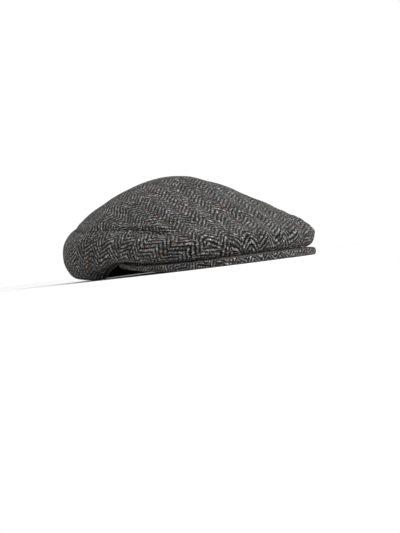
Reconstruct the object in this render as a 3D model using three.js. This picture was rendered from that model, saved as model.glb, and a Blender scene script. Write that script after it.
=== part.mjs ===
// Grey herringbone tweed flat cap at rest on a level surface, in millimetres.
// +Z is up, the peak points along -Y and the wearer's right is -X.
import * as THREE from 'three';

const clothThickness = 2.2;
const seamGap = 0.36;
const apexHeight = 93;
const peakThickness = 6.7;
const peakEndThickness = 4.4;
const peakThinningDirs = [35, 60];
const peakEndDir = 74;
const restStripWidth = 5;
const bandThickness = 1.3;
const bandDrop = 3;
const sidePanelFrontDir = 6;
const dirStep = 5;

// Sections round the cap, by direction in degrees from the front, the same on both sides.
// R columns are radii from the crown's upright axis and Z columns are heights above the surface.
// hem: lower edge of the crown cloth. fold: where it turns under. bulge: its widest point.
// shoulder and brow: on the way up to the apex. edge: outer lower edge of the peak.
// rim: edge of the head opening. bandH: height of the sweatband.
const sectionColumns = [
  'dir', 'hemR', 'hemZ', 'foldR', 'foldZ', 'bulgeR', 'bulgeZ', 'shoulderR', 'shoulderZ',
  'browR', 'browZ', 'edgeR', 'edgeZ', 'rimR', 'rimZ', 'bandH',
];
const sectionRows = [
  [0, 139.5, 10, 148, 8.4, 152.5, 18.5, 121, 39.5, 68, 67, 155.5, 0, 101, 29, 15],
  [15, 137.5, 9.8, 146.5, 8.3, 151.5, 19, 119, 40.5, 66, 67.5, 154, 0, 100, 28.5, 15],
  [30, 127, 9.4, 137, 8.3, 143.5, 20.5, 111, 44, 62, 69.5, 143.5, 0, 97, 27, 17],
  [45, 108, 10.8, 119, 10, 127, 24.5, 101, 47, 57, 73, 123.5, 2, 92, 24, 20],
  [60, 93, 14.5, 104, 14.2, 111, 29.5, 91, 50, 53, 76, 104.5, 6, 87.5, 20.5, 24],
  [75, 86, 16.5, 98, 14.5, 105.5, 32, 87, 53.5, 51, 79, 90.5, 9.5, 85, 17, 28],
  [90, 83.4, 11, 97, 10.5, 107, 33.5, 88, 56.5, 50, 81.5, 84, 11, 83, 11, 30],
  [105, 85, 0, 104, 7, 110, 33.5, 90, 57.5, 51, 82, 84, 11, 85, 3.4, 30],
  [120, 89, 0, 112, 8.5, 115.5, 35, 93, 59, 53, 82.5, 84, 11, 89, 3.4, 30],
  [140, 95, 0, 117, 9.5, 121, 36.5, 96, 62.5, 55, 83, 84, 11, 95, 3.4, 30],
  [160, 98, 0, 117.5, 10, 121.5, 38, 96, 66, 55, 84.5, 84, 11, 98, 3.4, 30],
  [180, 99, 0, 116.5, 10.5, 120, 39, 95, 67.5, 55, 85.5, 84, 11, 99, 3.4, 30],
];
const crownKeys = ['hem', 'fold', 'bulge', 'shoulder', 'brow'];
const apexLevel = crownKeys.length;

// Level of the seam between the top and side panels: 0 at the hem, 2 at the bulge, 3 at the shoulder.
const seamColumns = ['dir', 'level'];
const seamRows = [
  [0, 0], [5, 0], [10, 0.95], [16, 1.5], [26, 2.2], [35, 2.52], [43, 2.66],
  [55, 2.7], [75, 2.67], [97, 2.6], [124, 2.66], [180, 2.74],
];

// Puffs (+) and dents (-) of the cloth: where they lie, their half spreads and their height.
const foldColumns = ['dir', 'level', 'dirSpread', 'levelSpread', 'height'];
const foldRows = [
  [-48, 2.8, 13, 0.1, 2.8],
  [-46, 2.6, 14, 0.08, -1.8],
  [-70, 2.76, 8, 0.1, 1.2],
  [48, 2.8, 15, 0.2, 1],
  [-100, 1.75, 14, 0.35, 1.6],
  [100, 1.75, 14, 0.35, 1.6],
  [-116, 1.1, 14, 0.3, -2.6],
  [132, 1.15, 18, 0.3, -3.2],
  [-158, 1.9, 12, 0.4, 1.8],
  [150, 2.2, 14, 0.4, 1.6],
  [-112, 3.1, 16, 0.4, -1.4],
  [112, 3.2, 18, 0.4, -1.2],
  [20, 3.2, 16, 0.5, -0.8],
];
const seamGrooveDepth = 1.1;
const seamGrooveSpread = 0.1;
// The groove is full where the seam runs above the second of these levels, and gone below the first.
const seamGrooveLevels = [1.9, 2.5];

const degree = Math.PI / 180;

function columnOf(rows, columns, name) {
  return rows.map((row) => row[columns.indexOf(name)]);
}

// Smooth cubic through values at knots, level at both ends.
function smoothThrough(knots, values, x) {
  const last = knots.length - 1;
  const slope = (i) => {
    if (i === 0 || i === last) {
      return 0;
    }
    const before = knots[i] - knots[i - 1];
    const after = knots[i + 1] - knots[i];
    const rise = ((values[i] - values[i - 1]) / before) * after;
    const fall = ((values[i + 1] - values[i]) / after) * before;
    return (rise + fall) / (before + after);
  };
  let i = 0;
  while (i < last - 1 && x >= knots[i + 1]) {
    i += 1;
  }
  const span = knots[i + 1] - knots[i];
  const s = (x - knots[i]) / span;
  return hermite(s, span, values[i], slope(i), values[i + 1], slope(i + 1));
}

function hermite(s, span, start, startSlope, end, endSlope) {
  const back = 1 - s;
  return (1 + 2 * s) * back * back * start + s * back * back * span * startSlope
    + s * s * (3 - 2 * s) * end - s * s * back * span * endSlope;
}

const sectionDirs = columnOf(sectionRows, sectionColumns, 'dir');

// Value of a section column in any direction. No height goes below the surface.
function section(name, dir) {
  const folded = Math.abs(((dir + 540) % 360) - 180);
  return Math.max(0, smoothThrough(sectionDirs, columnOf(sectionRows, sectionColumns, name), folded));
}

function seamLevel(dir) {
  const dirs = columnOf(seamRows, seamColumns, 'dir');
  const levels = columnOf(seamRows, seamColumns, 'level');
  return Math.max(0, smoothThrough(dirs, levels, Math.abs(((dir + 540) % 360) - 180)));
}

function placed(dir, radius, height) {
  return new THREE.Vector3(radius * Math.sin(dir * degree), -radius * Math.cos(dir * degree), height);
}

// Plain crown: in each direction a smooth curve from the hem through the keys and over the apex.
function plainCrown(dir, level) {
  const across = dir + 180;
  const radii = [...crownKeys.map((key) => section(key + 'R', dir)), 0, -section('browR', across)];
  const heights = [...crownKeys.map((key) => section(key + 'Z', dir)), apexHeight, section('browZ', across)];
  const spans = radii.slice(1).map((r, i) => Math.hypot(r - radii[i], heights[i + 1] - heights[i]));
  const along = (values) => {
    const rate = (i) => (values[i + 1] - values[i]) / spans[i];
    const inner = (i) => (rate(i - 1) * spans[i] + rate(i) * spans[i - 1]) / (spans[i - 1] + spans[i]);
    const slope = (i) => (i === 0 ? 1.5 * rate(0) - 0.5 * inner(1) : inner(i));
    const i = Math.min(Math.floor(level), apexLevel - 1);
    return hermite(level - i, spans[i], values[i], slope(i), values[i + 1], slope(i + 1));
  };
  return placed(dir, along(radii), along(heights));
}

function normalOf(surface, dir, level) {
  const stepDir = 0.5;
  const stepLevel = 0.02;
  const low = Math.max(level - stepLevel, 0);
  const high = Math.min(level + stepLevel, apexLevel - 0.01);
  const round = surface(dir + stepDir, level).sub(surface(dir - stepDir, level));
  const up = surface(dir, high).sub(surface(dir, low));
  return round.cross(up).normalize();
}

function foldHeight(dir, level) {
  const at = Object.fromEntries(foldColumns.map((name, i) => [name, i]));
  const sum = foldRows.reduce((total, row) => {
    const turn = ((dir - row[at.dir] + 540) % 360) - 180;
    const round = turn / row[at.dirSpread];
    const up = (level - row[at.level]) / row[at.levelSpread];
    return total + row[at.height] * Math.exp(-round * round - up * up);
  }, 0);
  const fromSeam = (level - seamLevel(dir)) / seamGrooveSpread;
  const seamEase = THREE.MathUtils.clamp(
    THREE.MathUtils.inverseLerp(...seamGrooveLevels, seamLevel(dir)), 0, 1,
  );
  const settled = Math.min(level / 0.8, 1);
  return sum * settled - seamGrooveDepth * seamEase * Math.exp(-fromSeam * fromSeam);
}

function crown(dir, level) {
  const point = plainCrown(dir, level);
  if (level > apexLevel - 0.05) {
    return point;
  }
  return point.addScaledVector(normalOf(plainCrown, dir, level), foldHeight(dir, level));
}

// Inside of the cloth wall. The hem that rests on the surface is cut level.
function crownInside(dir, level) {
  const point = crown(dir, level);
  if (level > apexLevel - 0.05) {
    return point.add(new THREE.Vector3(0, 0, -clothThickness));
  }
  if (level === 0 && section('hemZ', dir) < 0.5) {
    return placed(dir, section('hemR', dir) - 1.2 * clothThickness, section('hemZ', dir));
  }
  return point.addScaledVector(normalOf(crown, dir, level), -clothThickness);
}

class Solid {
  constructor() {
    this.points = [];
    this.faces = [];
  }

  add(point) {
    this.points.push(point.x, point.y, point.z);
    return this.points.length / 3 - 1;
  }

  addRows(rows) {
    return rows.map((row) => row.map((point) => this.add(point)));
  }

  span(a, b) {
    return Math.hypot(...[0, 1, 2].map((i) => this.points[3 * a + i] - this.points[3 * b + i]));
  }

  // Four-sided patch, split along its shorter diagonal.
  quad(a, b, c, d) {
    if (this.span(a, c) <= this.span(b, d)) {
      this.faces.push(a, b, c, a, c, d);
    } else {
      this.faces.push(a, b, d, b, c, d);
    }
  }

  mesh(name, colour) {
    const geometry = new THREE.BufferGeometry();
    geometry.setAttribute('position', new THREE.Float32BufferAttribute(this.points, 3));
    geometry.setIndex(this.faces);
    geometry.computeVertexNormals();
    const material = new THREE.MeshStandardMaterial({ color: colour, roughness: 0.95 });
    const mesh = new THREE.Mesh(geometry, material);
    mesh.name = name;
    return mesh;
  }
}

// Cloth wall from rows of outer and inner points: a row per direction, from the lower edge upwards.
// A round wall closes on its first row. Poles are the outer and inner points that close the top.
function clothWall(outerRows, innerRows, round, poles) {
  const solid = new Solid();
  const outer = solid.addRows(outerRows);
  const inner = solid.addRows(innerRows);
  const count = outer.length;
  const top = outer[0].length - 1;
  const pole = poles ? poles.map((point) => solid.add(point)) : null;
  const joins = round ? count : count - 1;
  for (let i = 0; i < joins; i += 1) {
    const j = (i + 1) % count;
    for (let k = 0; k < top; k += 1) {
      solid.quad(outer[i][k], outer[j][k], outer[j][k + 1], outer[i][k + 1]);
      solid.quad(inner[i][k], inner[i][k + 1], inner[j][k + 1], inner[j][k]);
    }
    solid.quad(inner[i][0], inner[j][0], outer[j][0], outer[i][0]);
    if (pole) {
      solid.faces.push(outer[i][top], outer[j][top], pole[0]);
      solid.faces.push(inner[i][top], pole[1], inner[j][top]);
    } else {
      solid.quad(outer[i][top], outer[j][top], inner[j][top], inner[i][top]);
    }
  }
  if (!round) {
    const end = count - 1;
    for (let k = 0; k < top; k += 1) {
      solid.quad(outer[0][k], outer[0][k + 1], inner[0][k + 1], inner[0][k]);
      solid.quad(outer[end][k], inner[end][k], inner[end][k + 1], outer[end][k + 1]);
    }
  }
  return solid;
}

// Levels from one to another in even steps.
function levelsBetween(low, high, steps) {
  return Array.from({ length: steps + 1 }, (_, k) => low + (high - low) * (k / steps));
}

function seamClearance(dir) {
  const level = Math.max(seamLevel(dir), 0.1);
  const reach = plainCrown(dir, level + 0.05).distanceTo(plainCrown(dir, level - 0.05));
  return (seamGap / 2) * (0.1 / reach);
}

function topPanel() {
  const dirs = Array.from({ length: 360 / dirStep }, (_, i) => -180 + i * dirStep);
  const levelsAt = (dir) => {
    const start = seamLevel(dir);
    const lower = start > 0 ? start + seamClearance(dir) : 0;
    const middle = Math.max(lower + 0.35, 3);
    return [...levelsBetween(lower, middle, 8).slice(0, -1), ...levelsBetween(middle, 4.75, 6)];
  };
  const outer = dirs.map((dir) => levelsAt(dir).map((level) => crown(dir, level)));
  const inner = dirs.map((dir) => levelsAt(dir).map((level) => crownInside(dir, level)));
  const poles = [crown(0, apexLevel), crownInside(0, apexLevel)];
  return clothWall(outer, inner, true, poles).mesh('top_panel', '#6b6967');
}

function sidePanel(name, side) {
  const dirs = [sidePanelFrontDir];
  for (let dir = 10; dir < 180; dir += dirStep) {
    dirs.push(dir);
  }
  const backRadius = section('bulgeR', 180);
  dirs.push(180 - seamGap / 2 / backRadius / degree);
  const ordered = side > 0 ? dirs : dirs.map((dir) => -dir).reverse();
  const levelsAt = (dir) => levelsBetween(0, seamLevel(dir) - seamClearance(dir), 8);
  const outer = ordered.map((dir) => levelsAt(dir).map((level) => crown(dir, level)));
  const inner = ordered.map((dir) => levelsAt(dir).map((level) => crownInside(dir, level)));
  return clothWall(outer, inner, false, null).mesh(name, '#565452');
}

// Peak section: over the top from the rim under the crown's hem to the edge, round the edge and back.
// It thins towards its two ends, which lie under the sides of the crown.
function peakLoop(dir) {
  const thinning = THREE.MathUtils.smoothstep(Math.abs(dir), ...peakThinningDirs);
  const thickness = THREE.MathUtils.lerp(peakThickness, peakEndThickness, thinning);
  const edgeR = section('edgeR', dir);
  const edgeZ = section('edgeZ', dir);
  const rimR = section('rimR', dir) + seamGap;
  const rimTop = section('rimZ', dir) + thickness;
  const hemR = section('hemR', dir);
  const hemTop = section('hemZ', dir) - seamGap;
  const noseR = edgeR - 0.4 * thickness;
  const noseTop = Math.min(edgeZ + thickness, hemTop - 0.6);
  const knots = [rimR, Math.min(hemR, noseR - 2), noseR];
  const heights = [Math.max(rimTop, hemTop + 0.3), hemTop, noseTop];
  const topAt = (r) => {
    const inner = (r - knots[1]) * (r - knots[2]) / ((knots[0] - knots[1]) * (knots[0] - knots[2]));
    const middle = (r - knots[0]) * (r - knots[2]) / ((knots[1] - knots[0]) * (knots[1] - knots[2]));
    const outer = (r - knots[0]) * (r - knots[1]) / ((knots[2] - knots[0]) * (knots[2] - knots[1]));
    return heights[0] * inner + heights[1] * middle + heights[2] * outer;
  };
  const steps = 8;
  const radii = Array.from({ length: steps + 1 }, (_, k) => rimR + (noseR - rimR) * (k / steps));
  const top = radii.map((r) => [r, topAt(r)]);
  const strip = Math.min(restStripWidth, 0.3 * (noseR - rimR));
  const bottom = radii.map((r) => {
    const inward = Math.max(0, noseR - strip - r) / (noseR - strip - rimR);
    const under = topAt(r) - (noseTop - edgeZ);
    return [r, inward === 0 ? edgeZ : Math.max(edgeZ, under)];
  });
  bottom[steps - 1] = [noseR - strip, edgeZ];
  const nose = [
    [edgeR - 0.08 * thickness, noseTop - 0.24 * thickness],
    [edgeR, edgeZ + 0.5 * (noseTop - edgeZ)],
    [edgeR, edgeZ + 0.44 * (noseTop - edgeZ)],
    [edgeR - 0.08 * thickness, edgeZ + 0.2 * thickness],
  ];
  return [...top, ...nose, ...bottom.reverse()].map(([r, z]) => placed(dir, r, z));
}

function peak() {
  const solid = new Solid();
  const count = 2 * Math.ceil(peakEndDir / 4);
  const dirs = Array.from({ length: count + 1 }, (_, i) => -peakEndDir + 2 * peakEndDir * (i / count));
  const loops = solid.addRows(dirs.map(peakLoop));
  const size = loops[0].length;
  for (let i = 0; i < count; i += 1) {
    for (let k = 0; k < size; k += 1) {
      const next = (k + 1) % size;
      solid.quad(loops[i][k], loops[i][next], loops[i + 1][next], loops[i + 1][k]);
    }
  }
  for (let k = 0; k < size / 2 - 1; k += 1) {
    const far = size - 1 - k;
    solid.quad(loops[0][k], loops[0][far], loops[0][far - 1], loops[0][k + 1]);
    solid.quad(loops[count][k], loops[count][k + 1], loops[count][far - 1], loops[count][far]);
  }
  return solid.mesh('peak', '#5c5a58');
}

// Sweatband: a thin band just inside the rim, level with the peak's inner edge and the hem.
function sweatband() {
  const dirs = Array.from({ length: 360 / dirStep }, (_, i) => -180 + i * dirStep);
  const insetAt = (dir) => {
    const past = THREE.MathUtils.smoothstep(Math.abs(dir), 90, 104);
    return seamGap + past * 1.2 * clothThickness;
  };
  const pointAt = (dir, part, inward) => {
    const lowest = Math.max(section('rimZ', dir) - bandDrop, 0.4);
    const radius = section('rimR', dir) - insetAt(dir) - inward;
    return placed(dir, radius, lowest + part * section('bandH', dir));
  };
  const parts = [0, 0.5, 1];
  const outer = dirs.map((dir) => parts.map((part) => pointAt(dir, part, 0)));
  const inner = dirs.map((dir) => parts.map((part) => pointAt(dir, part, bandThickness)));
  return clothWall(outer, inner, true, null).mesh('sweatband', '#3c3029');
}

function flatCap() {
  const cap = new THREE.Group();
  cap.name = 'flat_cap';
  cap.add(topPanel());
  cap.add(sidePanel('side_panel_right', -1));
  cap.add(sidePanel('side_panel_left', 1));
  cap.add(peak());
  cap.add(sweatband());
  const box = new THREE.Box3().setFromObject(cap);
  const middle = box.getCenter(new THREE.Vector3());
  cap.children.forEach((mesh) => mesh.geometry.translate(-middle.x, -middle.y, -box.min.z));
  return cap;
}

export default flatCap();
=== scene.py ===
import math
import bmesh
import bpy
import numpy as np
from mathutils import Matrix, Vector


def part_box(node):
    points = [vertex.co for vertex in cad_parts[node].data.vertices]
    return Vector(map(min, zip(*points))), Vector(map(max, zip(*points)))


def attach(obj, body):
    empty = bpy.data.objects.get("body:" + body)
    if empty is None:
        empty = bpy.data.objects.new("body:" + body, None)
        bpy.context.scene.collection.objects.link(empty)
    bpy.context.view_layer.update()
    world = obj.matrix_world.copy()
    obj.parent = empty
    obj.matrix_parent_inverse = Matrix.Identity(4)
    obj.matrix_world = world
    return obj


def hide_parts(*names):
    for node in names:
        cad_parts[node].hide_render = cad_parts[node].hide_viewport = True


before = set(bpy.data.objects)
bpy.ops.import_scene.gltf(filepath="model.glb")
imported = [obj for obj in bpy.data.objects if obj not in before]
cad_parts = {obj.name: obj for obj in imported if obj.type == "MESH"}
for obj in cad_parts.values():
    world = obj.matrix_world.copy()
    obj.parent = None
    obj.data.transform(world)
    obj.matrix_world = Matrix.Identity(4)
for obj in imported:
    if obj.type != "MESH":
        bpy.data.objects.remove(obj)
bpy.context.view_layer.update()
print("frame loaded")

# shape of the crown, in mm; every R is a radius from the crown's axis and every Z a height above the floor;
# directions are degrees from the front, and levels count up the crown from the hem, 0, to the apex, 5
capShape = {
    "clothThickness": 2.2,
    "seamGap": 0.36,
    "edgeRound": 0.55,       # how far a sewn edge rounds off
    "floorGap": 0.02,        # where the cap rests
    "apexHeight": 93.0,
    "keys": ["hem", "fold", "bulge", "shoulder", "brow"],
    "columns": ["dir", "hemR", "hemZ", "foldR", "foldZ", "bulgeR", "bulgeZ", "shoulderR", "shoulderZ",
                "browR", "browZ", "edgeR", "edgeZ", "rimR", "rimZ", "bandH"],
    "rows": np.array([
        [0, 139.5, 10, 148, 8.4, 152.5, 18.5, 121, 39.5, 68, 67, 155.5, 0, 101, 29, 15],
        [15, 137.5, 9.8, 146.5, 8.3, 151.5, 19, 119, 40.5, 66, 67.5, 154, 0, 100, 28.5, 15],
        [30, 127, 9.4, 137, 8.3, 143.5, 20.5, 111, 44, 62, 69.5, 143.5, 0, 97, 27, 17],
        [45, 108, 10.8, 119, 10, 127, 24.5, 101, 47, 57, 73, 123.5, 2, 92, 24, 20],
        [60, 93, 14.5, 104, 14.2, 111, 29.5, 91, 50, 53, 76, 104.5, 6, 87.5, 20.5, 24],
        [75, 86, 16.5, 98, 14.5, 105.5, 32, 87, 53.5, 51, 79, 90.5, 9.5, 85, 17, 28],
        [90, 83.4, 11, 97, 10.5, 107, 33.5, 88, 56.5, 50, 81.5, 84, 11, 83, 11, 30],
        [105, 85, 0, 104, 7, 110, 33.5, 90, 57.5, 51, 82, 84, 11, 85, 3.4, 30],
        [120, 89, 0, 112, 8.5, 115.5, 35, 93, 59, 53, 82.5, 84, 11, 89, 3.4, 30],
        [140, 95, 0, 117, 9.5, 121, 36.5, 96, 62.5, 55, 83, 84, 11, 95, 3.4, 30],
        [160, 98, 0, 117.5, 10, 121.5, 38, 96, 66, 55, 84.5, 84, 11, 98, 3.4, 30],
        [180, 99, 0, 116.5, 10.5, 120, 39, 95, 67.5, 55, 85.5, 84, 11, 99, 3.4, 30],
    ], float),
    "seam": np.array([[0, 0], [5, 0], [10, 0.95], [16, 1.5], [26, 2.2], [35, 2.52], [43, 2.66],
                      [55, 2.7], [75, 2.67], [97, 2.6], [124, 2.66], [180, 2.74]], float),
    "folds": np.array([   # direction, level, spread of each, height; the last row is at the lip
        [-48, 2.8, 13, 0.1, 2.8], [-46, 2.6, 14, 0.08, -1.8], [-70, 2.76, 8, 0.1, 1.2], [48, 2.8, 15, 0.2, 1],
        [-100, 1.75, 14, 0.35, 1.6], [100, 1.75, 14, 0.35, 1.6], [-116, 1.1, 14, 0.3, -2.6],
        [132, 1.15, 18, 0.3, -3.2], [-158, 1.9, 12, 0.4, 1.8], [150, 2.2, 14, 0.4, 1.6],
        [-112, 3.1, 16, 0.4, -1.4], [112, 3.2, 18, 0.4, -1.2], [20, 3.2, 16, 0.5, -0.8],
        [0, 1.0, 55, 0.32, -1.4], [36, 2.55, 13, 0.15, 1.8], [34, 2.2, 13, 0.1, -1.2],
    ], float),
    "foldFade": 0.8,         # level under which the folds die away towards the hem
    "seamDepth": 1.1,        # groove along the seam
    "seamSpread": 0.1,       # in levels
    "seamFade": (1.9, 0.6),  # seam level where groove and puckers begin, and levels over which they grow
    "seamRadius": 112.0,     # about how far the seam is from the axis
    "levelHeight": 32.0,     # about the cloth in one level beside the seam
    "puckerHeight": 0.4,
    "puckerLength": 12.0,
    "puckerDrift": (1.7, 23.0),   # radians that the puckers drift by, and the length that sets how fast
    "puckerReach": 7.0,      # how far beside the seam a pucker dies away
    "puckerClear": 2.0,      # how far beside the stitches it begins
    "unevenness": 0.28,
    "slackFade": 1.2,        # level under which the slack dies away
    "waveCount": 14,
    "waveLengths": (20, 62),
    "fullWave": 60,          # length of a wave that counts in full
    "waveSeed": 11,
}
levelStep = 0.02   # step for slopes, in levels
dirStep = 0.5      # and in degrees
highestLevel = 4.99   # just short of the apex, where all directions meet
endSteps = np.array([0, 0.02, 0.08, 0.2, 0.4, 0.7])   # rows on a rounded end, as shares of its radius

# the crown's upright axis stands behind the peak's front edge
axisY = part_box("peak")[0].y * 1000 + capShape["rows"][0, capShape["columns"].index("edgeR")]
print("crown axis at y", round(axisY, 2), "mm")


def turnBack(dirs):
    # any angle brought into -180 to 180 degrees
    return (dirs + 180) % 360 - 180


def hermite(s, span, start, startSlope, end, endSlope):
    # cubic over one span with given values and slopes at its two ends
    return ((1 + 2 * s) * (1 - s) ** 2 * start + s * (1 - s) ** 2 * span * startSlope
            + s * s * (3 - 2 * s) * end - s * s * (1 - s) * span * endSlope)


def smoothThrough(knots, values, x):
    # cubic through the values: inner slopes are the two neighbouring rates, each weighted by the span
    # of the other, and the ends are level
    spans = np.diff(knots)
    rates = np.diff(values) / spans
    slopes = np.zeros_like(values)
    slopes[1:-1] = (rates[:-1] * spans[1:] + rates[1:] * spans[:-1]) / (spans[:-1] + spans[1:])
    i = np.clip(np.searchsorted(knots, x, side="right") - 1, 0, len(spans) - 1)
    return hermite((x - knots[i]) / spans[i], spans[i], values[i], slopes[i], values[i + 1], slopes[i + 1])


def sectionAt(name, dirs):
    # one column of the table in any direction, the same on both sides, never below zero
    column = capShape["rows"][:, capShape["columns"].index(name)]
    return np.maximum(0, smoothThrough(capShape["rows"][:, 0], column, np.abs(turnBack(dirs))))


def seamLevel(dirs):
    # level of the seam between the top and the side panels
    seamDirs, seamLevels = capShape["seam"].T
    return np.maximum(0, smoothThrough(seamDirs, seamLevels, np.abs(turnBack(dirs))))


def placed(dirs, radii, heights):
    # radius and height in a direction, as a point; direction 0 is the front, -Y
    turn = np.radians(dirs)
    return np.stack([radii * np.sin(turn), -radii * np.cos(turn), heights + 0 * dirs], axis=-1)


def plainCrown(dirs, levels):
    # in each direction a cubic from the hem (level 0) through fold, bulge, shoulder and brow,
    # over the apex (level 5) towards the brow on the far side, with spans as long as their chords
    far = dirs + 180
    radii = np.stack([sectionAt(key + "R", dirs) for key in capShape["keys"]]
                     + [0 * dirs, -sectionAt("browR", far)])
    heights = np.stack([sectionAt(key + "Z", dirs) for key in capShape["keys"]]
                       + [0 * dirs + capShape["apexHeight"], sectionAt("browZ", far)])
    spans = np.hypot(np.diff(radii, axis=0), np.diff(heights, axis=0))
    i = np.clip(np.floor(levels).astype(int), 0, len(capShape["keys"]) - 1)

    def pick(stack, j):
        return np.take_along_axis(stack, j[None], axis=0)[0]

    def along(values):
        rates = np.diff(values, axis=0) / spans
        slopes = np.empty_like(values)
        slopes[1:-1] = (rates[:-1] * spans[1:] + rates[1:] * spans[:-1]) / (spans[:-1] + spans[1:])
        slopes[0] = 1.5 * rates[0] - 0.5 * slopes[1]
        slopes[-1] = rates[-1]
        return hermite(levels - i, pick(spans, i), pick(values, i), pick(slopes, i),
                       pick(values, i + 1), pick(slopes, i + 1))

    return placed(dirs, along(radii), along(heights))


def outwardOf(surface, dirs, levels):
    # unit cross product of the steps round the crown and up it
    high = np.minimum(levels + levelStep, highestLevel)
    low = np.maximum(levels - levelStep, 0)
    around = surface(dirs + dirStep, levels) - surface(dirs - dirStep, levels)
    up = surface(dirs, high) - surface(dirs, low)
    normal = np.cross(around, up)
    return normal / np.maximum(np.linalg.norm(normal, axis=-1, keepdims=True), 1e-9)


waveRng = np.random.default_rng(capShape["waveSeed"])
waveDirs = waveRng.normal(size=(capShape["waveCount"], 3))
waveDirs /= np.linalg.norm(waveDirs, axis=1, keepdims=True)
waveLengths = waveRng.uniform(*capShape["waveLengths"], capShape["waveCount"])
wavePhases = waveRng.uniform(0, 2 * np.pi, capShape["waveCount"])


def clothRelief(dirs, levels, points):
    # height of the cloth over the plain crown: a bell curve for each fold, a bell-shaped groove along
    # the seam, ripples beside the seam that die away from it, and a sum of plane waves for the slack
    seam = seamLevel(dirs)
    total = np.zeros_like(levels)
    for foldDir, foldLevel, dirSpread, levelSpread, height in capShape["folds"]:
        total += height * np.exp(-(turnBack(dirs - foldDir) / dirSpread) ** 2
                                 - ((levels - foldLevel) / levelSpread) ** 2)
    total *= np.minimum(levels / capShape["foldFade"], 1)
    fadeFrom, fadeOver = capShape["seamFade"]
    ease = np.clip((seam - fadeFrom) / fadeOver, 0, 1)
    total -= capShape["seamDepth"] * ease * np.exp(-((levels - seam) / capShape["seamSpread"]) ** 2)
    aside = np.abs(levels - seam) * capShape["levelHeight"]
    length = np.radians(dirs) * capShape["seamRadius"]
    drift, driftLength = capShape["puckerDrift"]
    ripple = np.sin(2 * np.pi * length / capShape["puckerLength"] + drift * np.sin(length / driftLength))
    ripple *= np.exp(-aside / capShape["puckerReach"]) * (1 - np.exp(-aside / capShape["puckerClear"]))
    total += capShape["puckerHeight"] * ease * ripple
    waves = np.sin(2 * np.pi * (points @ waveDirs.T) / waveLengths + wavePhases)
    slack = waves @ (waveLengths / capShape["fullWave"])
    return total + capShape["unevenness"] * slack * np.clip(levels / capShape["slackFade"], 0, 1)


def crownCloth(dirs, levels):
    # plain crown pushed out along its normal by the relief
    points = plainCrown(dirs, levels)
    return points + outwardOf(plainCrown, dirs, levels) * clothRelief(dirs, levels, points)[..., None]


def clothAt(dirs, levels, depth):
    # point at a depth under the cloth's outer face
    return crownCloth(dirs, levels) - outwardOf(crownCloth, dirs, levels) * depth[..., None]


def levelPerMm(dirs, levels):
    # change of level for one millimetre up the crown
    low = np.maximum(levels - levelStep, 0)
    rise = plainCrown(dirs, low + 2 * levelStep) - plainCrown(dirs, low)
    return 2 * levelStep / np.linalg.norm(rise, axis=-1)


def runningLength(points):
    # length along the second axis of a grid, from its first column
    steps = np.linalg.norm(np.diff(points, axis=1), axis=-1)
    return np.concatenate([np.zeros((len(points), 1)), np.cumsum(steps, axis=1)], axis=1)


mergeWithin = 2e-6   # m


def gridPiece(name, points, grain, closedRows, closedColumns, poles=None):
    # quads between neighbouring rows and columns of a grid of points in mm; a closed side joins its last
    # line to its first, and a pole closes the first or last column with a fan; grain holds the cloth's
    # own mm as UV; points that fall together are merged
    rows, columns = points.shape[:2]
    i, k = np.meshgrid(np.arange(rows if closedRows else rows - 1),
                       np.arange(columns if closedColumns else columns - 1), indexing="ij")
    i, k = i.ravel(), k.ravel()
    cornerRow = np.stack([i, i + 1, i + 1, i], axis=1)
    cornerColumn = np.stack([k, k, k + 1, k + 1], axis=1)
    faces = (cornerRow % rows) * columns + cornerColumn % columns
    cornerGrain = grain[cornerRow % len(grain), cornerColumn % grain.shape[1]]
    vertices = points.reshape(-1, 3)
    faceList, grainList = faces.tolist(), [cornerGrain.reshape(-1, 2)]
    if poles is not None:
        ring = np.arange(rows)
        after = (ring + 1) % rows
        first, last = len(vertices), len(vertices) + 1
        vertices = np.concatenate([vertices, poles])
        faceList += np.stack([after * columns, ring * columns, 0 * ring + first], axis=1).tolist()
        faceList += np.stack([ring * columns + columns - 1, after * columns + columns - 1, 0 * ring + last],
                             axis=1).tolist()
        middle = np.zeros((rows, 2)) + grain[:, 0].mean(0)
        grainList.append(np.stack([grain[after, 0], grain[ring, 0], middle], axis=1).reshape(-1, 2))
        grainList.append(np.stack([grain[ring, -1], grain[after, -1], middle], axis=1).reshape(-1, 2))
    mesh = bpy.data.meshes.new(name)
    mesh.from_pydata(((vertices + [0, axisY, 0]) / 1000).tolist(), [], faceList)
    mesh.uv_layers.new(name="clothGrain").data.foreach_set("uv", np.concatenate(grainList).ravel())
    work = bmesh.new()
    work.from_mesh(mesh)
    bmesh.ops.remove_doubles(work, verts=work.verts, dist=mergeWithin)
    work.to_mesh(mesh)
    work.free()
    mesh.polygons.foreach_set("use_smooth", np.ones(len(mesh.polygons), bool))
    piece = bpy.data.objects.new(name, mesh)
    bpy.context.scene.collection.objects.link(piece)
    return piece


def srgb(hexColour):
    # sRGB hex to linear colour with alpha 1
    parts = np.array([int(hexColour[n:n + 2], 16) for n in (1, 3, 5)]) / 255
    linear = np.where(parts <= 0.04045, parts / 12.92, ((parts + 0.055) / 1.055) ** 2.4)
    return (*linear.tolist(), 1.0)


def addNode(tree, kind, inputs, **settings):
    # one node with its settings; an input is a value, a node (its first output) or a socket to link
    made = tree.nodes.new(kind)
    for key, value in settings.items():
        setattr(made, key, value)
    for key, value in inputs.items():
        if isinstance(value, bpy.types.Node):
            tree.links.new(value.outputs[0], made.inputs[key])
        elif isinstance(value, bpy.types.NodeSocket):
            tree.links.new(value, made.inputs[key])
        else:
            made.inputs[key].default_value = value
    return made


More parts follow.
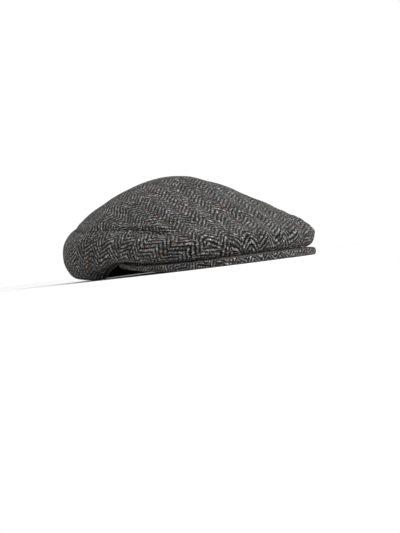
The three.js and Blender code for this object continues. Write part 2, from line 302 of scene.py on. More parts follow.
# woven herringbone wool tweed: light warp over dark weft in a two-over-two twill that turns back every
# column, with thin rust and tan check lines and nubs of coloured wool; the nap gives a soft pale sheen
tweedCloth = {
    "warpPitch": 1.23,       # mm between warp yarns; both pitches are as coarse as the strokes need to show
    "weftPitch": 1.45,       # mm between weft yarns
    "strokeYarns": 4,        # yarns in one stroke and its gap
    "columnYarns": 9,        # warp yarns in one herringbone column
    "bendLength": 14.29,     # mm over which the yarns wander, and how far
    "bend": 3.4,
    "looseLength": 2.632,    # the same for the small waves of loosely spun yarn
    "loose": 2.0,
    "slubsPerYarn": 0.6,     # thick and thin places in a yarn's width
    "slub": 5.4,             # how much they swell or break a stroke
    "strokeEdge": 0.35,      # softness of a stroke's edge
    "toneDrift": 0.16,       # change of a yarn's tone at each crossing, against that from yarn to yarn
    "coverLength": 5.0,      # mm of a check line that loose fibres cover or leave bare
    "nubYarns": 1.5,         # length of a nub in yarns
    "hazeLength": 20.0,      # mm in a patch of loose fibres
    "haze": 0.28,
    "speckle": 0.75,         # how much lighter or darker a single crossing may be
    "fibresPerYarn": 2.2,
    "tanRepeat": 159.8,      # mm in one repeat of the weft check
    "tanSecond": 90.0,       # mm from the first tan line of a repeat to the second
    "lightWarp": ["#404040", "#6b6a69", "#a4a19d"],
    "darkWeft": ["#030303", "#070707", "#121212"],
    "rust": ["#36200e", "#6c3304"],
    "tan": ["#483620", "#744a18"],
    "tints": [(0.93, 1.0, 1.1, 1), (1.07, 1.0, 0.91, 1)],   # from blue-grey to fawn yarns
    "nubs": ["#86380c", "#54401a", "#8a8479", "#2b3a55", "#5c2810"],
    "fibreGrey": "#464442",
    "relief": 0.5,           # mm of yarn relief in the bump
}


def tweedMaterial(name, layout):
    # the weave is worked out from the cloth's own millimetres: across is the warp yarn's number, along is
    # the weft's; the warp lies on top where the sine of along plus or minus across, over four yarns, is up
    material = bpy.data.materials.new(name)
    material.use_nodes = True
    tree = material.node_tree
    tree.nodes.clear()
    cloth = tweedCloth
    warpPitch, weftPitch, columnYarns = cloth["warpPitch"], cloth["weftPitch"], cloth["columnYarns"]
    grain = addNode(tree, "ShaderNodeUVMap", {}, uv_map="clothGrain")
    moved = grain
    for length, reach in ((cloth["bendLength"], cloth["bend"]), (cloth["looseLength"], cloth["loose"])):
        noise = addNode(tree, "ShaderNodeTexNoise", {"Vector": grain, "Scale": 1 / length, "Detail": 1.0})
        aside = addNode(tree, "ShaderNodeVectorMath", {0: noise.outputs["Color"], 1: (0.5, 0.5, 0.5)},
                        operation="SUBTRACT")
        moved = addNode(tree, "ShaderNodeVectorMath", {0: aside, 1: (reach, reach, 0), 2: moved},
                        operation="MULTIPLY_ADD")
    yarns = addNode(tree, "ShaderNodeVectorMath", {0: moved, 1: (1 / warpPitch, 1 / weftPitch, 0)},
                    operation="MULTIPLY")
    apart = addNode(tree, "ShaderNodeSeparateXYZ", {0: yarns})
    across, along = apart.outputs[0], apart.outputs[1]
    warpNumber = addNode(tree, "ShaderNodeMath", {0: across}, operation="FLOOR")
    weftNumber = addNode(tree, "ShaderNodeMath", {0: along}, operation="FLOOR")

    # herringbone: the sign of the diagonal changes every column, with a break of half a stroke
    fromStart = addNode(tree, "ShaderNodeMath", {0: warpNumber, 1: round(layout["columnStart"] / warpPitch)},
                        operation="SUBTRACT")
    column = addNode(tree, "ShaderNodeMath", {0: fromStart, 1: columnYarns}, operation="DIVIDE")
    columnNumber = addNode(tree, "ShaderNodeMath", {0: column}, operation="FLOOR")
    inColumn = addNode(tree, "ShaderNodeMath", {0: fromStart, 1: columnYarns}, operation="FLOORED_MODULO")
    odd = addNode(tree, "ShaderNodeMath", {0: columnNumber, 1: 2.0}, operation="FLOORED_MODULO")
    sign = addNode(tree, "ShaderNodeMath", {0: odd, 1: -2.0, 2: 1.0}, operation="MULTIPLY_ADD")
    slant = addNode(tree, "ShaderNodeMath", {0: inColumn, 1: sign, 2: along}, operation="MULTIPLY_ADD")
    broken = addNode(tree, "ShaderNodeMath", {0: odd, 1: columnYarns + cloth["strokeYarns"] / 2, 2: slant},
                     operation="MULTIPLY_ADD")
    turn = addNode(tree, "ShaderNodeMath", {0: broken, 1: 2 * math.pi / cloth["strokeYarns"]},
                   operation="MULTIPLY")
    wave = addNode(tree, "ShaderNodeMath", {0: turn}, operation="SINE")
    # thick and thin places in the yarn make a stroke swell, thin out or break
    slub = addNode(tree, "ShaderNodeTexNoise", {"Vector": yarns, "Scale": cloth["slubsPerYarn"],
                                                "Detail": 3.0, "Roughness": 0.8})
    swell = addNode(tree, "ShaderNodeMath", {0: slub, 1: cloth["slub"], 2: -cloth["slub"] / 2},
                    operation="MULTIPLY_ADD")
    uneven = addNode(tree, "ShaderNodeMath", {0: wave, 1: swell}, operation="ADD")
    warpUp = addNode(tree, "ShaderNodeMapRange", {"Value": uneven,
                                                  "From Min": layout["openness"] - cloth["strokeEdge"],
                                                  "From Max": layout["openness"] + cloth["strokeEdge"]},
                     interpolation_type="SMOOTHSTEP")

    # each yarn has its own tone, which drifts along it; the third number only sets the noises apart
    alongWarp = addNode(tree, "ShaderNodeMath", {0: along, 1: cloth["toneDrift"]}, operation="MULTIPLY")
    alongWeft = addNode(tree, "ShaderNodeMath", {0: across, 1: cloth["toneDrift"]}, operation="MULTIPLY")
    warpPlace = addNode(tree, "ShaderNodeCombineXYZ", {0: warpNumber, 1: alongWarp, 2: 3.7})
    weftPlace = addNode(tree, "ShaderNodeCombineXYZ", {0: alongWeft, 1: weftNumber, 2: 9.1})
    warpTone = addNode(tree, "ShaderNodeTexNoise", {"Vector": warpPlace, "Scale": 0.9, "Detail": 2.0})
    weftTone = addNode(tree, "ShaderNodeTexNoise", {"Vector": weftPlace, "Scale": 0.9, "Detail": 2.0})
    warpColour = addNode(tree, "ShaderNodeValToRGB", {0: warpTone})
    weftColour = addNode(tree, "ShaderNodeValToRGB", {0: weftTone})
    for yarnColour, colours in ((warpColour, cloth["lightWarp"]), (weftColour, cloth["darkWeft"])):
        yarnColour.color_ramp.elements.new(0.5)
        for element, place, colour in zip(yarnColour.color_ramp.elements, (0.3, 0.5, 0.7), colours):
            element.position = place
            element.color = srgb(colour)

    # some yarns are spun a little bluer and some a little browner
    tintPlace = addNode(tree, "ShaderNodeCombineXYZ", {0: warpNumber, 1: alongWarp, 2: 21.0})
    tintTone = addNode(tree, "ShaderNodeTexNoise", {"Vector": tintPlace, "Scale": 0.9, "Detail": 1.0})
    tintShare = addNode(tree, "ShaderNodeMapRange", {"Value": tintTone, "From Min": 0.3, "From Max": 0.7})
    tint = addNode(tree, "ShaderNodeMix", {"Factor": tintShare.outputs[0], "A": cloth["tints"][0],
                                           "B": cloth["tints"][1]}, data_type="RGBA")
    woven = addNode(tree, "ShaderNodeMix", {"Factor": warpUp, "A": weftColour, "B": warpColour},
                    data_type="RGBA")
    tinted = addNode(tree, "ShaderNodeMix", {"Factor": 1.0, "A": woven.outputs["Result"],
                                             "B": tint.outputs["Result"]},
                     data_type="RGBA", blend_type="MULTIPLY")

    # check lines: single yarns of rust in the warp and of tan in the weft, duller where fibres cover them
    cover = addNode(tree, "ShaderNodeTexNoise", {"Vector": grain, "Scale": 1 / cloth["coverLength"],
                                                 "Detail": 2.0})
    bare = addNode(tree, "ShaderNodeMapRange", {"Value": cover, "From Min": 0.4, "From Max": 0.56,
                                                "To Min": 0.25, "To Max": 1.0})
    vivid = addNode(tree, "ShaderNodeMapRange", {"Value": slub, "From Min": 0.45, "From Max": 0.65})
    lined = tinted
    for number, pitch, start, repeat, others, colours in (
            (weftNumber, weftPitch, layout["tanStart"], cloth["tanRepeat"], [0.0, cloth["tanSecond"]],
             cloth["tan"]),
            (warpNumber, warpPitch, layout["rustStart"], layout["rustRepeat"], [0.0, layout["rustSecond"]],
             cloth["rust"])):
        fromFirst = addNode(tree, "ShaderNodeMath", {0: number, 1: round(start / pitch)},
                            operation="SUBTRACT")
        inRepeat = addNode(tree, "ShaderNodeMath", {0: fromFirst, 1: round(repeat / pitch)},
                           operation="FLOORED_MODULO")
        dyed = addNode(tree, "ShaderNodeMix", {"Factor": vivid.outputs[0], "A": srgb(colours[0]),
                                               "B": srgb(colours[1])}, data_type="RGBA")
        for other in others:
            onLine = addNode(tree, "ShaderNodeMath", {0: inRepeat, 1: float(round(other / pitch)), 2: 0.5},
                             operation="COMPARE")
            shown = addNode(tree, "ShaderNodeMath", {0: onLine, 1: bare.outputs[0]}, operation="MULTIPLY")
            lined = addNode(tree, "ShaderNodeMix", {"Factor": shown, "A": lined.outputs["Result"],
                                                    "B": dyed.outputs["Result"]}, data_type="RGBA")

    # nubs: short lengths of coloured wool spun into a few of the yarns
    nubLength = addNode(tree, "ShaderNodeMath", {0: along, 1: cloth["nubYarns"]}, operation="DIVIDE")
    nubNumber = addNode(tree, "ShaderNodeMath", {0: nubLength}, operation="FLOOR")
    nubPlace = addNode(tree, "ShaderNodeCombineXYZ", {0: warpNumber, 1: nubNumber, 2: 0.0})
    chance = addNode(tree, "ShaderNodeTexWhiteNoise", {"Vector": nubPlace}, noise_dimensions="3D")
    isNub = addNode(tree, "ShaderNodeMath", {0: chance, 1: layout["nubShare"]}, operation="LESS_THAN")
    nubPick = addNode(tree, "ShaderNodeSeparateColor", {0: chance.outputs["Color"]})
    nubColour = addNode(tree, "ShaderNodeValToRGB", {0: nubPick.outputs[1]})
    nubColour.color_ramp.interpolation = "CONSTANT"
    for n, colour in enumerate(cloth["nubs"]):
        if n >= 2:
            nubColour.color_ramp.elements.new(n / len(cloth["nubs"]))
        nubColour.color_ramp.elements[n].position = n / len(cloth["nubs"])
        nubColour.color_ramp.elements[n].color = srgb(colour)
    nubbed = addNode(tree, "ShaderNodeMix", {"Factor": isNub, "A": lined.outputs["Result"], "B": nubColour},
                     data_type="RGBA")

    # loose fibres blur the weave in patches and make it greyer
    patches = addNode(tree, "ShaderNodeTexNoise", {"Vector": grain, "Scale": 1 / cloth["hazeLength"],
                                                   "Detail": 3.0})
    haze = addNode(tree, "ShaderNodeMapRange", {"Value": patches, "From Min": 0.4, "From Max": 0.75,
                                                "To Min": 0.0, "To Max": cloth["haze"]})
    hazed = addNode(tree, "ShaderNodeMix", {"Factor": haze.outputs[0], "A": nubbed.outputs["Result"],
                                            "B": srgb(cloth["fibreGrey"])}, data_type="RGBA")

    # salt and pepper of single crossings, each a little lighter or darker than the rest
    crossing = addNode(tree, "ShaderNodeCombineXYZ", {0: warpNumber, 1: weftNumber, 2: 5.0})
    anyTone = addNode(tree, "ShaderNodeTexWhiteNoise", {"Vector": crossing}, noise_dimensions="3D")
    speckle = addNode(tree, "ShaderNodeMapRange", {"Value": anyTone, "To Min": 1 - cloth["speckle"],
                                                   "To Max": 1 + cloth["speckle"]})
    speckled = addNode(tree, "ShaderNodeVectorMath", {0: hazed.outputs["Result"],
                                                      "Scale": speckle.outputs[0]}, operation="SCALE")

    # relief: the yarn on top stands up as a round ridge across its width
    warpRound = addNode(tree, "ShaderNodeMath", {0: across, 1: 0.5}, operation="PINGPONG")
    weftRound = addNode(tree, "ShaderNodeMath", {0: along, 1: 0.5}, operation="PINGPONG")
    ridge = addNode(tree, "ShaderNodeMix", {"Factor": warpUp, "A": weftRound, "B": warpRound},
                    data_type="FLOAT")
    fibre = addNode(tree, "ShaderNodeTexNoise", {"Vector": yarns, "Scale": cloth["fibresPerYarn"],
                                                 "Detail": 2.0})
    heights = addNode(tree, "ShaderNodeMath", {0: warpUp, 1: 0.55, 2: ridge}, operation="MULTIPLY_ADD")
    napped = addNode(tree, "ShaderNodeMath", {0: fibre, 1: 0.5, 2: heights}, operation="MULTIPLY_ADD")
    bump = addNode(tree, "ShaderNodeBump", {"Strength": 0.8, "Distance": cloth["relief"] / 1000,
                                            "Height": napped})
    surface = addNode(tree, "ShaderNodeBsdfPrincipled", {
        "Base Color": speckled, "Roughness": 0.95, "Specular IOR Level": 0.12, "IOR": 1.5,
        "Sheen Weight": 0.14, "Sheen Roughness": 0.45, "Sheen Tint": srgb("#d6d4d2"), "Normal": bump})
    addNode(tree, "ShaderNodeOutputMaterial", {"Surface": surface})
    return material


def finishPiece(piece, node, material):
    # each piece takes its material and stands for the solid of the same name
    piece.data.materials.append(material)
    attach(piece, "root")
    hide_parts(node)
    print(piece.name, len(piece.data.vertices), "points")


# one long panel over the top, from the seam at the sides to the hem over the peak
topPanel = {
    "dirCount": 288,
    "levelCount": 66,
    "edgeCount": 7,
    "apexLevel": 4.96,
    "apexRise": 0.02,      # mm of the closing point over the last ring
    "crowding": 1.35,      # above 1 the rows stand closer towards the edge
    "grainTurn": 5.0,      # degrees of the warp from front to back
    "columnStart": 3.1,    # this and the next four in mm of the cloth
    "rustStart": -0.3,
    "rustRepeat": 62.7,
    "rustSecond": 0.0,     # on the first line, so there is one in a repeat
    "tanStart": 96.3,
    "openness": 0.3,       # more shows more of the dark weft
    "nubShare": 0.003,     # part of the cloth that is coloured wool
    "gatherFrom": 128.0,   # mm from the apex, where the cloth begins to be gathered over the lip
    "gather": 0.25,
    "eased": 1.08,         # the cloth is eased in a little along the warp
    "drawnFrom": 30.0,     # mm ahead of the apex, where it begins to be drawn out instead
    "drawnOver": 105.0,    # mm over which that grows
    "drawn": 0.28,         # to this share of its length
    "puckerShift": 1.4,    # mm that small gathers at the lip push the grain aside
    "puckerGrow": 20.0,    # mm of gathered cloth over which they grow
    "puckerSpacing": 21.0,
    "puckerDrift": (1.3, 17.0),   # radians that they drift by, and the mm that set how fast
    "puckerAlong": (0.3, 1.4, 1.0),   # share of the push that goes along the warp, its rate and its start
}


def makeTopPanel():
    # rows are directions; a column runs from the apex down the outer face, round the lower edge in a half
    # circle of half the cloth's thickness, and back up the inner face to the apex; the grain is the length
    # from the apex laid out flat round it, drawn out towards the front and pushed in waves at the lip
    half = capShape["clothThickness"] / 2
    dirs = np.linspace(-180, 180, topPanel["dirCount"], endpoint=False)[:, None]
    seam = seamLevel(dirs)
    perMm = levelPerMm(dirs, np.maximum(seam, 2 * levelStep))
    rounded = np.where(seam > 0, capShape["edgeRound"], half) * perMm
    edge = seam + np.where(seam > 0, capShape["seamGap"] / 2, 0) * perMm + rounded
    part = np.linspace(1, 0, topPanel["levelCount"])[None, :] ** topPanel["crowding"]
    outer = edge + (topPanel["apexLevel"] - edge) * part
    arc = np.linspace(0, np.pi, topPanel["edgeCount"] + 2)[None, 1:-1]
    levels = np.concatenate([outer, edge - rounded * np.sin(arc), outer[:, ::-1]], axis=1)
    depth = np.concatenate([0 * part, half * (1 - np.cos(arc)), 0 * part + 2 * half], axis=1) + 0 * dirs
    dirs = dirs + 0 * levels
    points = clothAt(dirs, levels, depth)
    apex = [0, 0, capShape["apexHeight"]]
    length = runningLength(points[:, :topPanel["levelCount"]])
    length = length + np.linalg.norm(points[:, :1] - apex, axis=-1)
    gathered = np.maximum(0, length - topPanel["gatherFrom"])
    length = length + topPanel["gather"] * gathered
    edgeLength = length[:, -1:] + half * arc
    length = np.concatenate([length, edgeLength, length[:, ::-1]], axis=1)
    gathered = np.concatenate([gathered, gathered[:, -1:] + half * arc, gathered[:, ::-1]], axis=1)
    leftwards, forwards = length * np.sin(np.radians(dirs)), length * np.cos(np.radians(dirs))
    turn = np.radians(topPanel["grainTurn"])
    across = leftwards * np.cos(turn) + forwards * np.sin(turn)
    along = forwards * np.cos(turn) - leftwards * np.sin(turn)
    ahead = np.maximum(0, along - topPanel["drawnFrom"])
    rising = np.minimum(ahead, topPanel["drawnOver"])
    drawnOut = rising ** 2 / (2 * topPanel["drawnOver"]) + ahead - rising
    along = topPanel["eased"] * along - topPanel["drawn"] * drawnOut
    pucker = topPanel["puckerShift"] * np.clip(gathered / topPanel["puckerGrow"], 0, 1)
    drift, driftLength = topPanel["puckerDrift"]
    share, rate, start = topPanel["puckerAlong"]
    phase = 2 * np.pi * across / topPanel["puckerSpacing"] + drift * np.sin(across / driftLength)
    grain = np.stack([across + pucker * np.sin(phase),
                      along + share * pucker * np.sin(rate * phase + start)], axis=-1)
    middle = points[:, 0].mean(0)
    poles = np.array([middle + [0, 0, topPanel["apexRise"]], middle - [0, 0, capShape["clothThickness"]]])
    return gridPiece("topPanelTweed", points, grain, True, False, poles)


topPiece = makeTopPanel()
finishPiece(topPiece, "top_panel", tweedMaterial("herringbone wool tweed, woven and napped, top", topPanel))

# two side panels, from a point under the front lip round to the seam at the centre back
sidePanel = {
    "frontDir": 6.0,
    "backDir": 179.9806,   # a hair short of the centre back
    "endRadius": (146.0, 110.0),   # mm from the axis to the front and the back end
    "endStep": (0.5, 0.6),         # degrees from each end to the first full row
    "pointShare": 0.45,    # most of the height that the hem's rounding takes, where the panel is narrow
    "dirCount": 200,
    "levelCount": 44,
    "edgeCount": 7,
    "crowding": 0.05,      # rows stand closer towards hem and seam
    "levelHeight": 9.0,    # about the mm in one level under the bulge, where the panel does not reach it
    "grainLean": 44.0,     # degrees of the warp from upright, running down and back
    "drawnRound": 0.88,    # the cloth is drawn out round the cap and eased in up the side
    "easedUp": 1.12,
    "curveFrom": 110.0,    # mm round from the front, where the curved panel begins to turn its grain
    "curveOver": 80.0,     # mm over which it turns
    "curveSlope": 0.32,    # fall of the grain for each mm from there on
    "columnStart": 84.0,   # this and the next four in mm of the cloth
    "rustStart": 63.3,
    "rustRepeat": 112.0,
    "rustSecond": 79.2,    # from the first line
    "tanStart": 72.4,
    "openness": 0.25,
    "nubShare": 0.0035,
}


def makeSidePanel(name, side):
    # rows are directions; a column runs up the outer face from hem to seam, round the seam edge, down the
    # inner face and round the hem; towards both ends the cloth thins to nothing along a quarter circle; the
    # grain is the length round the cap and the rise from the bulge, which falls along a parabola towards
    # the back, both turned by the lean
    half = capShape["clothThickness"] / 2
    frontDir, backDir = sidePanel["frontDir"], sidePanel["backDir"]
    frontRadius, backRadius = sidePanel["endRadius"]
    frontStep, backStep = sidePanel["endStep"]
    rounding = capShape["edgeRound"]
    ends = endSteps * rounding
    inner = np.linspace(frontDir + frontStep, backDir - backStep, sidePanel["dirCount"])
    ahead = np.concatenate([frontDir + np.degrees(ends / frontRadius), inner,
                            backDir - np.degrees(ends[::-1] / backRadius)])[:, None]
    fromFront = np.radians(ahead - frontDir) * frontRadius
    fromBack = np.radians(backDir - ahead) * backRadius
    fromEnd = np.clip(np.minimum(fromFront, fromBack) / rounding, 0, 1)
    full = np.sqrt(np.clip(1 - (1 - fromEnd) ** 2, 0, 1))
    seam = seamLevel(ahead)
    perMmSeam = levelPerMm(ahead, np.maximum(seam, 2 * levelStep))
    perMmHem = levelPerMm(ahead, 0 * ahead)
    rounded = rounding * perMmSeam
    upper = seam - capShape["seamGap"] / 2 * perMmSeam - rounded
    lower = np.minimum(half * perMmHem, sidePanel["pointShare"] * np.maximum(upper, levelStep))
    upper = np.maximum(upper, lower + levelStep / 2)
    part = np.linspace(0, 1, sidePanel["levelCount"])[None, :]
    part = part - sidePanel["crowding"] * np.sin(2 * np.pi * part)
    outer = lower + (upper - lower) * part
    arc = np.linspace(0, np.pi, sidePanel["edgeCount"] + 2)[None, 1:-1]
    levels = np.concatenate([outer, upper + rounded * np.sin(arc), outer[:, ::-1],
                             lower - lower * np.sin(arc)], axis=1)
    depth = np.concatenate([0 * part, half * (1 - np.cos(arc)), 0 * part + 2 * half,
                            half * (1 + np.cos(arc))], axis=1)
    depth = half + (depth - half) * full
    dirs = side * ahead + 0 * levels
    points = clothAt(dirs, levels, depth)
    points[..., 2] = np.maximum(points[..., 2], capShape["floorGap"])

    bulgeLevel = capShape["keys"].index("bulge")
    toFront = np.linspace(0, frontDir, 30)[:, None]
    beforeFront = plainCrown(toFront, 0 * toFront + bulgeLevel)[:, 0]
    ring = plainCrown(side * ahead, 0 * ahead + bulgeLevel)[:, 0]
    around = runningLength(beforeFront[None])[0, -1] + runningLength(ring[None]).T
    rise = runningLength(points[:, :sidePanel["levelCount"]])
    short = np.maximum(0, bulgeLevel - outer[:, -1]) * sidePanel["levelHeight"]
    bulge = np.array([np.interp(bulgeLevel, row, lengths) for row, lengths in zip(outer, rise)]) + short
    rise = rise - bulge[:, None]
    rise = np.concatenate([rise, rise[:, -1:] + half * arc, rise[:, ::-1],
                           rise[:, :1] - half * (np.pi - arc)], axis=1)
    past = around - sidePanel["curveFrom"]
    turned = np.clip(past / sidePanel["curveOver"], 0, 1)
    fall = sidePanel["curveOver"] * turned ** 2 / 2 + np.maximum(0, past - sidePanel["curveOver"])
    slope = sidePanel["curveSlope"]
    level = sidePanel["drawnRound"] * (around - slope * turned * rise)
    upright = sidePanel["easedUp"] * (rise + slope * fall)
    lean = np.radians(sidePanel["grainLean"])
    grain = np.stack([level * np.cos(lean) + upright * np.sin(lean),
                      level * np.sin(lean) - upright * np.cos(lean)], axis=-1)
    if side < 0:
        points, grain = points[::-1], grain[::-1]
    return gridPiece(name, points, grain, False, True)


sideTweed = tweedMaterial("herringbone wool tweed, woven and napped, sides", sidePanel)
for sideName, sideNode, side in (("sidePanelRightTweed", "side_panel_right", -1),
                                 ("sidePanelLeftTweed", "side_panel_left", 1)):
    finishPiece(makeSidePanel(sideName, side), sideNode, sideTweed)

# stiff peak covered in the same cloth, level along its front edge
peak = {
    "thickness": 6.7,
    "endThickness": 4.4,
    "thinning": (35.0, 60.0),   # directions between which it thins
    "endDir": 74.0,
    "endRadius": 88.0,     # mm from the axis to its ends
    "endStep": 1.6,        # degrees from each end to the first full row
    "restStrip": 5.0,      # mm of its underside that lie flat behind the nose
    "stripShare": 0.3,     # most of the depth that the strip takes
    "stripEase": 4.0,      # mm over which the underside then rises
    "noseShare": 0.4,      # reach of the rounded nose against the thickness
    "noseRound": 0.8,      # below 1 the nose is blunter than an ellipse
    "noseClear": 0.6,      # mm of the nose under the hem
    "hemClear": 2.0,       # mm of the hem behind the nose
    "rimLift": 0.3,        # mm of the rim over the hem, at least
    "dirCount": 190,
    "faceCount": 26,
    "noseCount": 11,
    "eased": 1.35,         # the cloth looks finer where it is eased round the narrow edge
    "columnStart": 4.0,    # this and the next four in mm of the cloth
    "rustStart": 30.6,
    "rustRepeat": 123.0,
    "rustSecond": 43.0,
    "tanStart": 210.0,
    "openness": 0.3,
    "nubShare": 0.01,
}


def makePeak():
    # rows are directions; a column runs over the top on a parabola through the rim, the hem and the nose,
    # round the nose in a blunt half ellipse, and back underneath, flat for a strip and then at an even
    # thickness; the grain is the length out from the rim, laid out flat round the axis
    gap = capShape["seamGap"]
    endDir, endHalf = peak["endDir"], peak["endThickness"] / 2
    ends = np.degrees(endSteps * endHalf / peak["endRadius"])
    inner = np.linspace(-endDir + peak["endStep"], endDir - peak["endStep"], peak["dirCount"])
    dirs = np.concatenate([-endDir + ends, inner, endDir - ends[::-1]])[:, None]
    fromEnd = np.clip(np.radians(endDir - np.abs(dirs)) * peak["endRadius"] / endHalf, 0, 1)
    full = np.sqrt(np.clip(1 - (1 - fromEnd) ** 2, 0, 1))
    thinFrom, thinTo = peak["thinning"]
    away = np.clip((np.abs(dirs) - thinFrom) / (thinTo - thinFrom), 0, 1)
    thick = peak["thickness"] + (peak["endThickness"] - peak["thickness"]) * away * away * (3 - 2 * away)
    edgeR, edgeZ = sectionAt("edgeR", dirs), sectionAt("edgeZ", dirs)
    rimR = sectionAt("rimR", dirs) + gap
    hemTop = sectionAt("hemZ", dirs) - gap
    noseR = edgeR - peak["noseShare"] * thick
    noseTop = np.minimum(edgeZ + thick, hemTop - peak["noseClear"])
    hemR = np.minimum(sectionAt("hemR", dirs), noseR - peak["hemClear"])
    rimTop = np.maximum(sectionAt("rimZ", dirs) + thick, hemTop + peak["rimLift"])

    def topAt(r):
        return (rimTop * (r - hemR) * (r - noseR) / ((rimR - hemR) * (rimR - noseR))
                + hemTop * (r - rimR) * (r - noseR) / ((hemR - rimR) * (hemR - noseR))
                + noseTop * (r - rimR) * (r - hemR) / ((noseR - rimR) * (noseR - hemR)))

    part = np.linspace(0, 1, peak["faceCount"])[None, :]
    radii = rimR + (noseR - rimR) * part
    tall = noseTop - edgeZ
    strip = np.minimum(peak["restStrip"], peak["stripShare"] * (noseR - rimR))
    under = np.maximum(edgeZ, topAt(radii) - tall)
    ease = np.clip((noseR - strip - radii) / peak["stripEase"], 0, 1)
    under = edgeZ + (under - edgeZ) * ease * ease * (3 - 2 * ease)
    arc = np.linspace(0, np.pi, peak["noseCount"] + 2)[None, 1:-1]
    noseOut = noseR + peak["noseShare"] * thick * np.sin(arc) ** peak["noseRound"]
    noseHigh = edgeZ + tall / 2 * (1 + np.cos(arc))
    r = np.concatenate([radii, noseOut, radii[:, ::-1]], axis=1)
    z = np.concatenate([topAt(radii), noseHigh, under[:, ::-1]], axis=1)
    middle = (z + np.concatenate([under, noseHigh[:, ::-1], topAt(radii)[:, ::-1]], axis=1)) / 2
    z = middle + (z - middle) * full
    points = placed(dirs + 0 * r, r, np.maximum(z, capShape["floorGap"]))
    spread = peak["eased"] * (rimR + runningLength(points))
    grain = np.stack([spread * np.sin(np.radians(dirs)), spread * np.cos(np.radians(dirs))], axis=-1)
    return gridPiece("peakTweed", points[:, ::-1], grain[:, ::-1], False, True)


finishPiece(makePeak(), "peak", tweedMaterial("herringbone wool tweed, drawn over a stiff board", peak))

# sweatband of plain cotton tape, just inside the rim
sweatband = {
    "thickness": 1.3,
    "drop": 3.0,          # mm of the band under the rim
    "floorGap": 0.4,
    "tuckDirs": (90.0, 104.0),   # directions between which it goes in behind the turned-up cloth
    "tuck": 1.2,          # how far in, against the cloth's thickness
    "dirCount": 240,
    "heightCount": 14,
    "edgeCount": 5,
    "ribPitch": 0.55,     # mm between the tape's ribs
    "patchLength": 6.25,  # mm in a lighter or darker patch
    "relief": 0.3,        # mm of rib relief in the bump
    "colours": ["#241c17", "#3a2e27", "#4c3f36"],
}


def makeSweatband():
    # rows are directions; a column runs up the outer face, round the top edge, down the inner face and round
    # the lower edge, so the band is a closed ring with rounded edges
    half = sweatband["thickness"] / 2
    dirs = np.linspace(-180, 180, sweatband["dirCount"], endpoint=False)[:, None]
    tuckFrom, tuckTo = sweatband["tuckDirs"]
    past = np.clip((np.abs(dirs) - tuckFrom) / (tuckTo - tuckFrom), 0, 1)
    past = past * past * (3 - 2 * past)
    lowest = np.maximum(sectionAt("rimZ", dirs) - sweatband["drop"], sweatband["floorGap"])
    inset = capShape["seamGap"] + past * sweatband["tuck"] * capShape["clothThickness"]
    radius = sectionAt("rimR", dirs) - inset
    tall = sectionAt("bandH", dirs)
    part = np.linspace(0, 1, sweatband["heightCount"])[None, :]
    rise = half + (tall - 2 * half) * part
    arc = np.linspace(0, np.pi, sweatband["edgeCount"] + 2)[None, 1:-1]
    z = np.concatenate([rise, tall - half + half * np.sin(arc), rise[:, ::-1],
                        half - half * np.sin(arc) + 0 * dirs], axis=1)
    inward = np.concatenate([0 * rise, half * (1 - np.cos(arc)) + 0 * dirs, 0 * rise + 2 * half,
                             half * (1 + np.cos(arc)) + 0 * dirs], axis=1)
    points = placed(dirs + 0 * z, radius - inward, lowest + z)
    ring = points[:, 0]
    steps = np.linalg.norm(np.diff(np.concatenate([ring, ring[:1]]), axis=0), axis=1)
    around = np.concatenate([[0], np.cumsum(steps)])[:, None]
    rows = np.concatenate([z, z[:1]])
    grain = np.stack([around + 0 * rows, rows], axis=-1)
    return gridPiece("sweatbandTape", points, grain, True, True)


def tapeMaterial():
    # plain woven cotton tape: fine upright ribs, a little darker between them, and no shine
    material = bpy.data.materials.new("cotton tape, plain woven, dark brown")
    material.use_nodes = True
    tree = material.node_tree
    tree.nodes.clear()
    grain = addNode(tree, "ShaderNodeUVMap", {}, uv_map="clothGrain")
    threads = addNode(tree, "ShaderNodeVectorMath", {0: grain, "Scale": 1 / sweatband["ribPitch"]},
                      operation="SCALE")
    apart = addNode(tree, "ShaderNodeSeparateXYZ", {0: threads})
    rib = addNode(tree, "ShaderNodeMath", {0: apart.outputs[0], 1: 0.5}, operation="PINGPONG")
    pick = addNode(tree, "ShaderNodeMath", {0: apart.outputs[1], 1: 0.5}, operation="PINGPONG")
    weave = addNode(tree, "ShaderNodeMath", {0: rib, 1: pick}, operation="ADD")
    patches = addNode(tree, "ShaderNodeTexNoise", {"Vector": grain, "Scale": 1 / sweatband["patchLength"],
                                                   "Detail": 4.0})
    tone = addNode(tree, "ShaderNodeMath", {0: weave, 1: 0.35, 2: patches}, operation="MULTIPLY_ADD")
    colour = addNode(tree, "ShaderNodeValToRGB", {0: tone})
    colour.color_ramp.elements.new(0.6)
    for element, place, hexColour in zip(colour.color_ramp.elements, (0.35, 0.6, 0.9), sweatband["colours"]):
        element.position = place
        element.color = srgb(hexColour)
    bump = addNode(tree, "ShaderNodeBump", {"Strength": 0.7, "Distance": sweatband["relief"] / 1000,
                                            "Height": weave})
    surface = addNode(tree, "ShaderNodeBsdfPrincipled", {
        "Base Color": colour, "Roughness": 0.85, "Specular IOR Level": 0.2, "IOR": 1.5, "Sheen Weight": 0.1,
        "Sheen Roughness": 0.5, "Normal": bump})
    addNode(tree, "ShaderNodeOutputMaterial", {"Surface": surface})
    return material


finishPiece(makeSweatband(), "sweatband", tapeMaterial())

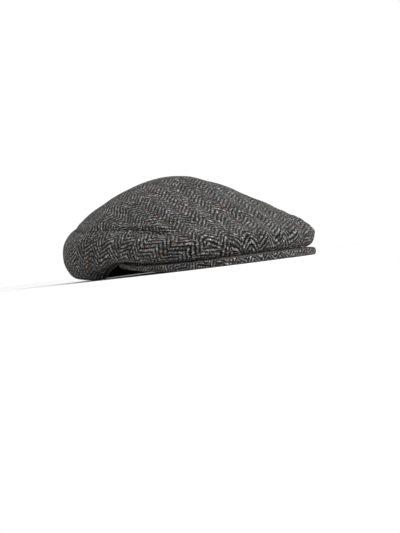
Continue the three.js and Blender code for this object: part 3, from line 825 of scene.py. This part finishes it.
# pale floor, soft light from above and from the white surroundings, and the camera
studio = {
    "floorColour": "#f9f9f9",
    "floorRadius": 0.7,       # m
    "floorSides": 96,
    "floorDrop": 0.0002,      # m that the floor lies under the cap's rest
    "surroundings": 0.27,     # light from all round
    "lampAim": (0, 0, 0.05),  # m
    "lamps": [   # name, place in m, size in m, power in W
        ("softBoxAbove", (0.1, -0.2, 2.6), 3.6, 60.0),
        ("softBoxFront", (0.9, -2.0, 1.0), 2.0, 54.0),
        ("softBoxSide", (-1.3, -1.5, 0.6), 1.2, 9.0),
    ],
    "picture": (400, 533),    # pixels
    "azimuth": -32.5,         # degrees
    "elevation": 0.5,
    "roll": 7.0,
    "distance": 1.6,          # m
    "sensor": 36.0,           # mm
    "mmPerPixel": 0.992,
    "axisPixel": (183.0, 259.5),   # where the crown's axis shows, at the next height
    "axisHeight": 9.9,        # mm
}


def makeStudio():
    # camera on a circle round the crown's axis, turned so that the axis point falls on its own pixel
    scene = bpy.context.scene
    world = bpy.data.worlds.new("white surroundings")
    world.use_nodes = True
    # the white paper behind is bright to the camera, and lights the cap more gently
    seen = addNode(world.node_tree, "ShaderNodeLightPath", {})
    strength = addNode(world.node_tree, "ShaderNodeMapRange", {
        "Value": seen.outputs["Is Camera Ray"], "To Min": studio["surroundings"], "To Max": 1.0})
    back = world.node_tree.nodes["Background"]
    back.inputs["Color"].default_value = (1, 1, 1, 1)
    world.node_tree.links.new(strength.outputs[0], back.inputs["Strength"])
    scene.world = world
    scene.view_settings.view_transform = "Standard"

    turn = np.linspace(0, 2 * np.pi, studio["floorSides"], endpoint=False)
    rim = np.stack([studio["floorRadius"] * np.cos(turn), studio["floorRadius"] * np.sin(turn),
                    0 * turn - studio["floorDrop"]], axis=1)
    mesh = bpy.data.meshes.new("paleFloor")
    mesh.from_pydata(rim.tolist(), [], [list(range(studio["floorSides"]))])
    floor = bpy.data.objects.new("paleFloor", mesh)
    scene.collection.objects.link(floor)
    paint = bpy.data.materials.new("matt white floor paint")
    paint.use_nodes = True
    shader = paint.node_tree.nodes["Principled BSDF"]
    shader.inputs["Base Color"].default_value = srgb(studio["floorColour"])
    shader.inputs["Roughness"].default_value = 0.9
    shader.inputs["Specular IOR Level"].default_value = 0.1
    mesh.materials.append(paint)

    for lampName, place, size, power in studio["lamps"]:
        lamp = bpy.data.lights.new(lampName, "AREA")
        lamp.energy = power
        lamp.size = size
        box = bpy.data.objects.new(lampName, lamp)
        box.location = place
        box.rotation_euler = (Vector(studio["lampAim"]) - box.location).to_track_quat("-Z", "Y").to_euler()
        scene.collection.objects.link(box)

    turn, tilt = math.radians(studio["azimuth"]), math.radians(studio["elevation"])
    towards = -Vector((math.sin(turn) * math.cos(tilt), -math.cos(turn) * math.cos(tilt), math.sin(tilt)))
    lookQuat = towards.to_track_quat("-Z", "Y")
    rolled = lookQuat.to_matrix() @ Matrix.Rotation(math.radians(-studio["roll"]), 3, "Z")
    perPixel = studio["mmPerPixel"] / 1000
    aim = Vector((0, axisY / 1000, studio["axisHeight"] / 1000))
    wide, tall = studio["picture"]
    aim += rolled.col[0] * (wide / 2 - studio["axisPixel"][0]) * perPixel
    aim += rolled.col[1] * (studio["axisPixel"][1] - tall / 2) * perPixel
    lens = bpy.data.cameras.new("photoCamera")
    lens.sensor_width = studio["sensor"]
    lens.lens = studio["sensor"] * studio["distance"] / (tall * perPixel)
    camera = bpy.data.objects.new("photoCamera", lens)
    camera.matrix_world = Matrix.Translation(aim - towards * studio["distance"]) @ rolled.to_4x4()
    scene.collection.objects.link(camera)
    scene.camera = camera
    print("camera at", [round(v, 3) for v in camera.location], "lens", round(lens.lens, 1))


makeStudio()
